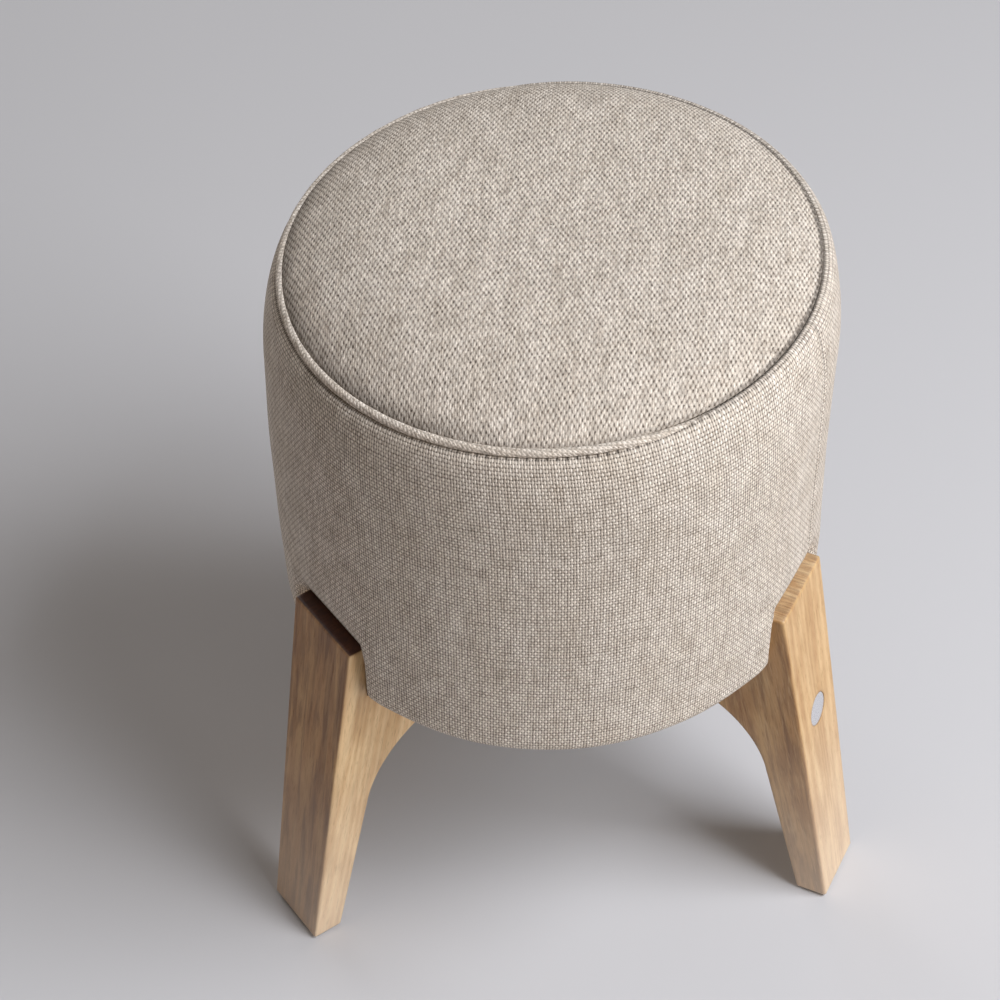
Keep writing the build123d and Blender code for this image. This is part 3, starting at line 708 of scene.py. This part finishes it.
def arcLengths(profile):
    steps = [math.dist(a, b) for a, b in zip(profile, profile[1:])]
    return np.concatenate([[0], np.cumsum(steps)])


angles = math.radians(drum["sideSeam"]) + np.arange(columns) * 2 * math.pi / columns
stitchHere = np.arange(columns) % drum["columnsPerStitch"] == 0


def degreesFrom(centre):
    return np.abs((np.degrees(angles) - centre + 180) % 360 - 180)


# at the right the welt is drawn down into the seam
sunk = 1 - smoothStep(*drum["sunkReach"], degreesFrom(drum["sunkAt"]))


# profile of the side band from its shoulder down to the hem
def sideProfile(inset=0):
    rows = []
    for step in np.linspace(0, 1, drum["shoulderRows"]) ** drum["rowsCrowd"]:
        turn = math.radians(drum["shoulderTurn"] * (1 - step))
        rows.append((drum["seamRadius"] + (drum["bellyRadius"] - drum["seamRadius"]) * math.cos(turn) - inset,
                     drum["bellyHeight"] + (drum["seamHeight"] - drum["bellyHeight"]) * math.sin(turn)))
    fall = drum["bellyHeight"] - drum["lowerHeight"]
    for step in np.linspace(0, 1, drum["wallRows"])[1:]:
        narrowing = (drum["bellyRadius"] - drum["lowerRadius"]) * step ** 2
        rows.append((drum["bellyRadius"] - narrowing - inset, drum["bellyHeight"] - fall * step))
    for step in np.linspace(0, 1, drum["hemRows"])[1:]:
        turn = math.radians(90 * step)
        rows.append((drum["hemRadius"] + (drum["lowerRadius"] - drum["hemRadius"] - inset) * math.cos(turn),
                     drum["lowerHeight"] - (drum["lowerHeight"] - drum["hemHeight"] - inset) * math.sin(turn)))
    return rows


# profile of the crown from the middle out to the welt
def topProfile(inset=0):
    rows = []
    power = drum["crownPower"]
    inner, outer = drum["crownRows"]  # closer together near the edge
    split = drum["crownSplit"]
    for q in np.append(np.linspace(drum["crownFrom"], split, inner), np.linspace(split, 1, outer)[1:]):
        slope = math.atan(drum["crown"] * power * q ** (power - 1) / drum["seamRadius"])
        height = drum["seamHeight"] + drum["crown"] * (1 - q ** power)
        rows.append((q * drum["seamRadius"] - inset * math.sin(slope), height - inset * math.cos(slope)))
    return rows


# The stuffing swells the cover: a short cloth run on a coarse copy of the drum's skin
puff = {
    "voxel": 6.0, "pressure": 1.5, "frames": 20, "most": 1.8,  # mm
    "base": (100.0, 50.0),  # rings that close the skin
    "seamGrip": (5.0, 10.0), "hemGrip": (206, 216),  # mm, held up to the first, free from the second
    "legGrip": (36, 48), "legTop": (244, 268),
    "seatFrom": 444, "near": 6, "soften": 0.5,
}


def runPuff():
    profile = topProfile() + [p for p in sideProfile() if p[1] < drum["shoulderFrom"]]
    profile += [(r, drum["hemHeight"]) for r in puff["base"]]
    points = settle(press(revolve(profile, angles)))
    rows, count = points.shape[:2]
    faces = [(i * count + j, (i + 1) * count + j, (i + 1) * count + (j + 1) % count, i * count + (j + 1) % count)
             for i in range(rows - 1) for j in range(count)]
    faces += [tuple(range(count)), tuple(rows * count - 1 - j for j in range(count))]
    mesh = bpy.data.meshes.new("skin")
    mesh.from_pydata((points.reshape(-1, 3) * mm).tolist(), [], faces)
    skin = bpy.data.objects.new("skin", mesh)
    bpy.context.scene.collection.objects.link(skin)
    remesh = skin.modifiers.new("remesh", "REMESH")
    remesh.mode = "VOXEL"
    remesh.voxel_size = puff["voxel"] * mm
    coarse = bpy.data.meshes.new_from_object(skin.evaluated_get(bpy.context.evaluated_depsgraph_get()))
    skin.modifiers.clear()
    skin.data = coarse
    start = np.array([v.co for v in coarse.vertices]) / mm
    turn = np.arctan2(start[:, 1], start[:, 0])
    ring = np.stack(
        [drum["seamRadius"] * np.cos(turn), drum["seamRadius"] * np.sin(turn), 0 * turn + drum["seamHeight"]], axis=-1
    )
    held = 1 - smoothStep(*puff["seamGrip"], np.linalg.norm(start - settle(ring), axis=-1))
    held = np.maximum(held, 1 - smoothStep(*puff["hemGrip"], start[:, 2]))
    for angle in legAngles.values():
        across = np.abs((np.degrees(turn) - angle + 180) % 360 - 180) * math.radians(drum["bellyRadius"])
        beside = (1 - smoothStep(*puff["legGrip"], across)) * (1 - smoothStep(*puff["legTop"], start[:, 2]))
        held = np.maximum(held, beside)
    group = skin.vertex_groups.new(name="held")
    for i, weight in enumerate(held):
        group.add([i], float(weight), "REPLACE")
    cloth = skin.modifiers.new("cloth", "CLOTH")
    cloth.settings.use_pressure = True
    cloth.settings.uniform_pressure_force = puff["pressure"]
    cloth.settings.effector_weights.gravity = 0
    cloth.settings.vertex_group_mass = "held"
    cloth.point_cache.frame_end = puff["frames"]
    for step in range(1, puff["frames"] + 1):
        bpy.context.scene.frame_set(step)
    swollen = bpy.data.meshes.new_from_object(skin.evaluated_get(bpy.context.evaluated_depsgraph_get()))
    moved = np.array([v.co for v in swollen.vertices]) / mm - start
    bpy.context.scene.frame_set(1)
    bpy.data.objects.remove(skin)
    for used in (mesh, coarse, swollen):
        bpy.data.meshes.remove(used)
    far = np.linalg.norm(moved, axis=-1)
    seat = far[start[:, 2] > puff["seatFrom"]].mean()
    print("cloth run:", len(start), "points, furthest", round(float(far.max()), 2), "mm, seat", round(float(seat), 2))
    moved *= min(1, puff["most"] / far.max())
    tree = kdtree.KDTree(len(start))
    for i, place in enumerate(start):
        tree.insert(place, i)
    tree.balance()
    return tree, moved


skinTree, skinMoved = runPuff()


# moves points as the coarse skin moved near them
def swell(points):
    flat = points.reshape(-1, 3).copy()
    for place in flat:
        near = skinTree.find_n(place, puff["near"])
        share = np.array([1 / (distance + puff["soften"]) ** 2 for _, _, distance in near])
        place += share @ skinMoved[[i for _, i, _ in near]] / share.sum()
    return flat.reshape(points.shape)


# Side band: the stitch line pulls it in just under the welt
band = {
    "tucked": [
        (138.5, 426.3), (141.0, 426.1), (143.0, 426.2), (144.4, 426.5), (145.3, 426.4), (146.2, 426.0), (147.1, 425.3)
    ],
    # over the sunk welt
    "shut": [
        (138.5, 426.3), (141.3, 428.0), (142.2, 429.6), (143.0, 430.2), (144.2, 430.1), (145.4, 429.4), (146.6, 428.3)
    ],
    "ride": 2.2,  # mm, pushed up with it
    "stitchRows": {3: 0.8, 4: 1.0, 5: 0.8},  # row, share of the painted shade
    "seamDrift": ((200, 250, 300, 344, 382, 425), (0.0, 0.4, 0.8, 0.9, 0.0, -1.1)),  # height, degrees
    "seamFold": (-0.7, -0.2, 0.25, 0.15),  # mm, by column from the seam
    "warpPitch": 1.56, "weftPitch": 2.16,  # mm
    "uneven": 0.7, "unevenSize": 55, "seed": 3,
    "rideFrom": (408, 425),  # height
    "holesAt": -88, "holesSpread": 27, "holesLeast": 0.4,  # degrees, and share
    "rightFadeAt": -10, "rightFadeReach": 45,
    "lineAt": -150, "lineSpread": 38, "lineShare": 0.35,
    "between": 0.08, "seamDark": 0.45, "holeDepth": 0.5,
    "seamRows": (2, 100), "foldRows": (10, 100),
    "turnedRows": 8,  # of the edge turned in below
}


def makeCoverSide():
    profile = band["tucked"] + [p for p in sideProfile() if p[1] < drum["shoulderFrom"]]
    turnedIn = np.linspace(drum["hemRadius"], drum["hemEdge"], band["turnedRows"])
    profile += [(r, drum["hemHeight"]) for r in turnedIn[1:]]
    heights = [p[1] for p in profile]
    # a cubic through the drift, so that the seam bends smoothly
    drift = np.radians(np.polyval(np.polyfit(*band["seamDrift"], 3), heights))
    points = np.stack([revolve([p], angles + turn)[0] for p, turn in zip(profile, drift)])
    points = press(uneven(points, band["uneven"], band["unevenSize"], band["seed"]))
    points[..., 2] += band["ride"] * sunk * smoothStep(*band["rideFrom"], points[..., 2])
    edge = len(band["tucked"])
    shut = revolve(band["shut"], angles + drift[0])
    points[:edge] += (shut - points[:edge]) * sunk[:, None]
    points = swell(settle(points))
    # painted shade in the needle holes: dots strongest at the front, running into a line at the left and fading out
    # at the right
    paintedShade = np.zeros(points.shape[:2])
    least = band["holesLeast"]
    gaping = least + (1 - least) * np.exp(-(degreesFrom(band["holesAt"]) / band["holesSpread"]) ** 2)
    rightFade = 1 - smoothStep(0, 1, 1 - degreesFrom(band["rightFadeAt"]) / band["rightFadeReach"])
    line = band["lineShare"] * np.exp(-(degreesFrom(band["lineAt"]) / band["lineSpread"]) ** 2)
    for row, share in band["stitchRows"].items():
        paintedShade[row] = share * np.maximum(np.where(stitchHere, gaping, band["between"]) * rightFade, line)
    paintedShade[slice(*band["seamRows"]), 0] = band["seamDark"]  # painted shade in the upright seam
    radial = points[..., :2] / np.linalg.norm(points[..., :2], axis=-1, keepdims=True)
    # the needle holes are also pressed in, as deep as their painted shade is dark
    push = -band["holeDepth"] * paintedShade
    for column, size in enumerate(band["seamFold"]):
        push[slice(*band["foldRows"]), [column, -column]] = size
    points[..., :2] += radial * push[..., None]
    around = np.arange(columns + 1) * 2 * math.pi / columns * drum["bellyRadius"]
    cloth = np.stack(np.meshgrid(around / band["warpPitch"], arcLengths(profile) / band["weftPitch"]), axis=-1)
    piece = buildRound("coverSide", points, cloth, paintedShade)
    dress(piece, "linenWovenBand", "linen", "cover_side")


# Top panel: threads as measured, a little skewed by the stretching
panel = {
    "warpPitch": 1.337, "warpTurn": -8.1, "weftPitch": 2.59, "weftTurn": -84.8,  # mm and degrees
    "uneven": 0.8, "unevenSize": 60, "seed": 7, "unevenFrom": (2, 12),  # mm above the seam
    "tucked": [(141.8, 430.1), (141.0, 429.4), (139.4, 428.8), (137.0, 428.4)],
    "gapeAt": 15, "gapeReach": (50, 85), "gapeRows": 6,  # degrees
    "seamDark": 0.3, "stitchDark": 0.1, "gapeDark": 0.45,
    "paintedEdgeShadeAt": 195, "paintedEdgeShadeReach": (36, 74),
    "paintedEdgeShadeRows": (0.6, 0.56, 0.5, 0.42, 0.33, 0.24, 0.16, 0.1, 0.05),  # row by row from the seam
}


def makeCoverTop():
    profile = topProfile() + panel["tucked"]
    points = revolve(profile, angles)
    flat = points.reshape(-1, 3)
    offset = Vector((panel["seed"], 0, 0))
    lumps = np.array([noise.noise(Vector(p) / panel["unevenSize"] + offset) for p in flat]) * panel["uneven"]
    low, high = (drum["seamHeight"] + above for above in panel["unevenFrom"])
    flat[:, 2] += lumps * smoothStep(low, high, flat[:, 2])
    points = swell(settle(points))
    # painted shade in the seam's crease all round, darker between the stitches at the right, where the seam gapes
    paintedShade = np.zeros(points.shape[:2])
    gape = 1 - smoothStep(*panel["gapeReach"], degreesFrom(panel["gapeAt"]))
    between = np.where(stitchHere, panel["stitchDark"], panel["gapeDark"])
    paintedShade[-panel["gapeRows"]:] = panel["seamDark"] + gape * between
    # and painted shade on the panel's edge at the left, where the edge lies in shade
    paintedEdgeShade = 1 - smoothStep(*panel["paintedEdgeShadeReach"], degreesFrom(panel["paintedEdgeShadeAt"]))
    for back, share in enumerate(panel["paintedEdgeShadeRows"], len(panel["tucked"])):
        paintedShade[-back] = np.maximum(paintedShade[-back], share * paintedEdgeShade)
    lengths = arcLengths(profile) + profile[0][0]
    spin = np.append(angles, angles[0] + 2 * math.pi)
    warp, weft = math.radians(panel["warpTurn"]), math.radians(panel["weftTurn"])
    across = lengths[:, None] * np.cos(spin - warp) / panel["warpPitch"]
    along = lengths[:, None] * np.cos(spin - weft) / panel["weftPitch"]
    cloth = np.stack([across, along], axis=-1)
    piece = buildRound("coverTop", points, cloth, paintedShade)
    dress(piece, "linenWovenSeat", "linen", "cover_top")


# Welt: linen cut on the bias, folded round a cord, its edges sewn into the seam
welt = {
    "radius": 2.4, "ring": 142.9, "height": 428.7, "sink": 2.2, "sides": 22, "flange": 10.0, "flangeThickness": 2.0,
    "warpPitch": 1.5, "weftPitch": 2.1, "uneven": 0.25, "unevenSize": 9, "seed": 5, "cordRadius": 1.2,
    "cordTwist": 7.0, "cordSides": 24, "strands": 3, "strandDepth": 0.08
}


def makePiping():
    middle = (welt["ring"], welt["height"])
    half = welt["flangeThickness"] / 2
    start = math.pi - math.asin(half / welt["radius"])
    turns = np.linspace(start, -start, welt["sides"])
    profile = [(middle[0] + welt["radius"] * math.cos(t), middle[1] + welt["radius"] * math.sin(t)) for t in turns]
    inner = welt["ring"] - welt["flange"]
    profile += [(inner, welt["height"] - half), (inner, welt["height"] + half)]
    points = revolve(profile, angles)
    points[..., 2] -= welt["sink"] * sunk
    points = uneven(settle(points), welt["uneven"], welt["unevenSize"], welt["seed"])
    lengths = np.append(arcLengths(profile), arcLengths(profile)[-1] + welt["flange"])
    around = np.arange(columns + 1) * 2 * math.pi / columns * middle[0]
    flatU, flatV = np.meshgrid(around, lengths)
    bias = math.sqrt(0.5)
    cloth = np.stack(
        [(flatU - flatV) * bias / welt["warpPitch"], (flatU + flatV) * bias / welt["weftPitch"]], axis=-1
    )
    piece = buildRound("piping", points, cloth, closeRows=True)
    dress(piece, "linenWovenBias", "linen", "piping")


def makePipingCord():
    turns = np.arange(welt["cordSides"]) * 2 * math.pi / welt["cordSides"]
    middle = (welt["ring"], welt["height"])
    twist = angles * round(2 * math.pi * middle[0] / welt["cordTwist"])
    depth = welt["strandDepth"]
    lobe = welt["cordRadius"] * (1 - depth + depth * np.cos(welt["strands"] * turns[:, None] + twist[None, :]))
    radius = middle[0] + lobe * np.cos(turns)[:, None]
    height = middle[1] + lobe * np.sin(turns)[:, None]
    height = height - welt["sink"] * sunk
    points = settle(np.stack([radius * np.cos(angles), radius * np.sin(angles), height], axis=-1))
    uv = np.zeros((len(turns) + 1, columns + 1, 2))
    piece = buildRound("pipingCord", points, uv, closeRows=True)
    dress(piece, "cottonCordLaid", "cord", "piping_cord")


# Foam under the linen, which shows only where the cover is lifted
foam = {
    "inset": 1.6, "split": 398.6, "bore": 140.2, "columns": 240, "sideColumns": 364,
    "topReach": 134.5, "shoulderTop": 419.5, "hemGap": 4, "middle": 0.6, "underRows": 30,
    "seamNotch": [(133.0, 430.6), (131.0, 430.2), (131.0, 425.4), (139.0, 424.0), (146.5, 421.0)],
}


def makeSeatFoam():
    turns = np.arange(foam["columns"]) * 2 * math.pi / foam["columns"]
    profile = [p for p in topProfile(foam["inset"]) if p[0] < foam["topReach"]] + foam["seamNotch"]
    profile += [p for p in sideProfile(foam["inset"]) if foam["split"] < p[1] < foam["shoulderTop"]]
    profile += [(r, foam["split"]) for r in np.linspace(profile[-1][0], foam["middle"], foam["underRows"])]
    points = settle(revolve(profile, turns))
    piece = buildRound("seatFoam", points, np.zeros((len(profile) + 1, foam["columns"] + 1, 2)))
    dress(piece, "polyurethaneFoamCut", "foam", "seat_foam")


def makeSideFoam():
    turns = np.arange(foam["sideColumns"]) * 2 * math.pi / foam["sideColumns"]
    profile = [p for p in sideProfile(foam["inset"]) if drum["hemHeight"] + foam["hemGap"] < p[1] < foam["split"]]
    outside = settle(press(revolve(profile, turns), foam["inset"]))
    inside = settle(revolve([(foam["bore"], p[1]) for p in reversed(profile)], turns))
    points = np.concatenate([outside, inside])
    piece = buildRound("sideFoam", points, np.zeros((len(points) + 1, foam["sideColumns"] + 1, 2)), closeRows=True)
    dress(piece, "polyurethaneFoamCut", "foam", "side_foam")


# Black sheet under the base, stapled all round and hanging a little slack
dust = {
    "radius": 133.35, "height": 199.3, "slack": 1.6, "pucker": 0.5, "staples": 30,  # mm
    "columns": 288, "rows": 40, "middle": 0.8,
    "legHalf": (28, 60), "legEnd": (0, 40),  # held up by the legs within the first, free from the second
    "slackEnds": (90, 130), "puckersFrom": (95, 126),
}


# the sheet laid flat, with its first column once more at the end
def flatMap(points):
    wrapped = np.concatenate([points, points[:, :1]], axis=1)
    return wrapped[..., :2]


def makeDustCover():
    turns = np.arange(dust["columns"]) * 2 * math.pi / dust["columns"]
    profile = [(r, dust["height"]) for r in np.linspace(dust["middle"], dust["radius"], dust["rows"])]
    points = revolve(profile, turns)
    away = np.ones(points.shape[:2])
    for angle in legAngles.values():
        out = np.array([math.cos(math.radians(angle)), math.sin(math.radians(angle))])
        along = points[..., :2] @ out
        across = np.abs(points[..., :2] @ np.array([-out[1], out[0]]))
        away *= np.maximum(smoothStep(*dust["legHalf"], across), 1 - smoothStep(*dust["legEnd"], along))
    radius = np.linalg.norm(points[..., :2], axis=-1)
    edge = 1 - smoothStep(*dust["slackEnds"], radius)
    puckers = dust["pucker"] * np.cos(turns * dust["staples"])[None, :] * smoothStep(*dust["puckersFrom"], radius)
    points[..., 2] -= away * (dust["slack"] * edge + np.maximum(0, puckers))
    piece = buildRound("dustCover", points, flatMap(points))
    dress(piece, "polypropyleneSpunBonded", "dust_cloth", "dust_cover")


# Felt pads under the feet, pressed a little wider at the floor
glide = {
    "radius": 181.7, "length": 38.0, "width": 13.0, "corner": 3.0,
    "levels": [(0.0, -0.3), (0.25, 0.2), (0.6, 0.35), (1.1, 0.2), (1.5, 0.0)],  # height, wider by
    "cornerSteps": 6,
}


def makeGlides():
    points, faces = [], []
    outline = []
    for cx, cy, start in ((1, 1, 0), (-1, 1, 90), (-1, -1, 180), (1, -1, 270)):
        for step in range(glide["cornerSteps"] + 1):
            turn = math.radians(start + step * 90 / glide["cornerSteps"])
            outline.append((cx * (glide["width"] / 2 - glide["corner"]) + glide["corner"] * math.cos(turn),
                            cy * (glide["length"] / 2 - glide["corner"]) + glide["corner"] * math.sin(turn)))
    levels = glide["levels"]
    for angle in legAngles.values():
        base = len(points)
        outX, outY = math.cos(math.radians(angle)), math.sin(math.radians(angle))
        for z, grow in levels:
            for x, y in outline:
                length = math.hypot(x, y)
                px, py = x + grow * x / length + glide["radius"], y + grow * y / length
                points.append(((px * outX - py * outY) * mm, (px * outY + py * outX) * mm, z * mm))
        count = len(outline)
        for i in range(len(levels) - 1):
            low, high = base + i * count, base + (i + 1) * count
            for j in range(count):
                n = (j + 1) % count
                faces.append((low + j, low + n, high + n, high + j))
        faces.append(tuple(base + j for j in reversed(range(count))))
        faces.append(tuple(base + (len(levels) - 1) * count + j for j in range(count)))
    mesh = bpy.data.meshes.new("footGlides")
    mesh.from_pydata(points, [], faces)
    mesh.update()
    piece = bpy.data.objects.new("footGlides", mesh)
    bpy.context.scene.collection.objects.link(piece)
    dress(piece, "woolFeltPressed", "felt", "foot_glides")


makeCoverTop()
makeCoverSide()
makePiping()
makePipingCord()
print("linen cover and welt made, columns:", columns)
makeSeatFoam()
makeSideFoam()
makeDustCover()
makeGlides()
print("foam, dust cover and glides made")

# Plain pale floor
floorLook = {"colour": "#cbccd0", "radius": 3.2, "sides": 128}


def makeFloor():
    turns = np.arange(floorLook["sides"]) * 2 * math.pi / floorLook["sides"]
    mesh = bpy.data.meshes.new("floor")
    mesh.from_pydata(
        [(floorLook["radius"] * math.cos(t), floorLook["radius"] * math.sin(t), 0) for t in turns], [],
        [tuple(range(len(turns)))]
    )
    floor = bpy.data.objects.new("floor", mesh)
    bpy.context.scene.collection.objects.link(floor)
    material, tree = newMaterial("floorPaintedMatt")
    closeMaterial(
        tree,
        addNode(
            tree, "ShaderNodeBsdfPrincipled",
            {"Base Color": hexColour(floorLook["colour"]), "Roughness": 1.0, "Specular IOR Level": 0.0}
        )
    )
    mesh.materials.append(material)


# Soft studio light: a large box at the right, weaker ones in front, at the left and behind, and a dim even sky
light = {
    "key": {"towards": (0.56, -0.30, 0.77), "distance": 2.4, "size": (1.4, 1.4), "watts": 69, "colour": "#fbfcff"},
    "front": {"towards": (0.70, -0.70, 0.14), "distance": 4.6, "size": (3.0, 1.4), "watts": 80, "colour": "#fff6ee"},
    "left": {"towards": (-0.85, -0.42, 0.22), "distance": 4.4, "size": (3.0, 1.8), "watts": 14, "colour": "#ffe2cc"},
    "back": {"towards": (-0.45, 0.85, 0.30), "distance": 4.4, "size": (3.0, 1.8), "watts": 52, "colour": "#ffffff"},
    "sky": 0.12, "skyColour": "#f6e6d6", "wallColour": "#c9cacd",
    "aimHeight": 0.3,
}


def makeLight():
    for name in ("key", "front", "left", "back"):
        lamp = bpy.data.lights.new(name, "AREA")
        lamp.shape = "RECTANGLE"
        lamp.size, lamp.size_y = light[name]["size"]
        lamp.energy = light[name]["watts"]
        lamp.color = hexColour(light[name]["colour"])[:3]
        box = bpy.data.objects.new(name, lamp)
        aim = Vector(light[name]["towards"]).normalized()
        box.location = Vector((0, 0, light["aimHeight"])) + aim * light[name]["distance"]
        box.rotation_euler = aim.to_track_quat("Z", "Y").to_euler()
        bpy.context.scene.collection.objects.link(box)
    world = bpy.data.worlds.new("studio")
    world.use_nodes = True
    world.node_tree.nodes.clear()
    tree = world.node_tree
    sky = addNode(tree, "ShaderNodeBackground", {"Color": hexColour(light["skyColour"]), "Strength": light["sky"]})
    # the studio wall as it is seen and reflected, which lights nothing
    wall = addNode(tree, "ShaderNodeBackground", {"Color": hexColour(light["wallColour"]), "Strength": 1.0})
    ray = addNode(tree, "ShaderNodeLightPath")
    mirrored = addNode(
        tree, "ShaderNodeMath", {0: ray.outputs["Is Glossy Ray"], 1: ray.outputs["Is Transmission Ray"]},
        operation="MAXIMUM"
    )
    seen = addNode(tree, "ShaderNodeMath", {0: ray.outputs["Is Camera Ray"], 1: mirrored}, operation="MAXIMUM")
    both = addNode(tree, "ShaderNodeMixShader", {0: seen, 1: sky, 2: wall})
    addNode(tree, "ShaderNodeOutputWorld", {"Surface": both})
    bpy.context.scene.world = world


# Camera as the photograph was taken: a long lens, looking down
view = {"lens": 107.17, "sensor": 36, "pitch": 46.06, "roll": -1.65, "turn": -3.74, "eye": (-104.8, -1171.8, 1466.9)}


def makeCamera():
    pitch, roll, turn = (math.radians(view[k]) for k in ("pitch", "roll", "turn"))
    spin = Matrix.Rotation(turn, 3, "Z")
    forward = spin @ Vector((0, math.cos(pitch), -math.sin(pitch)))
    right = spin @ Vector((1, 0, 0))
    up = right.cross(forward)
    across = right * math.cos(roll) + up * math.sin(roll)
    upward = up * math.cos(roll) - right * math.sin(roll)
    data = bpy.data.cameras.new("camera")
    data.lens = view["lens"]
    data.sensor_width = view["sensor"]
    camera = bpy.data.objects.new("camera", data)
    pose = Matrix((across, upward, -forward)).transposed().to_4x4()
    pose.translation = Vector(view["eye"]) * mm
    camera.matrix_world = pose
    bpy.context.scene.collection.objects.link(camera)
    bpy.context.scene.camera = camera


makeFloor()
makeLight()
makeCamera()
bpy.context.scene.view_settings.view_transform = "Standard"
print("floor, light and camera set")
